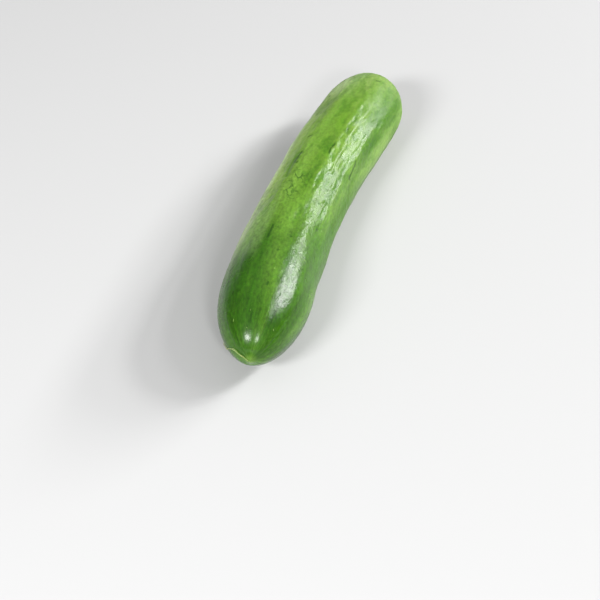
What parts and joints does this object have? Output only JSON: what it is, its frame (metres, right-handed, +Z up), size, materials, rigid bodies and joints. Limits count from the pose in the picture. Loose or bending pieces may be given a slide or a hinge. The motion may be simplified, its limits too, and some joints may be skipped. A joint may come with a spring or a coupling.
{
  "type": "mini cucumber",
  "caption": "Mini cucumber as picked: smooth glossy green skin, gently bent, round stem scar, withered flower thread; lies on a flat underside.",
  "frame": {"origin": "middle of the part's box in plan, on the surface that it lies on", "axes": "+X along the fruit towards its stem end, -X towards its blossom end, +Z up; both ends bend towards -Y"},
  "size_m": [0.1509, 0.0344, 0.0312],
  "materials": {
    "skin": "gloss",
    "dried_flower": "matte"
  },
  "bodies": {
    "root": {"cucumber": "skin", "flower_thread": "dried_flower"}
  },
  "joints": []
}
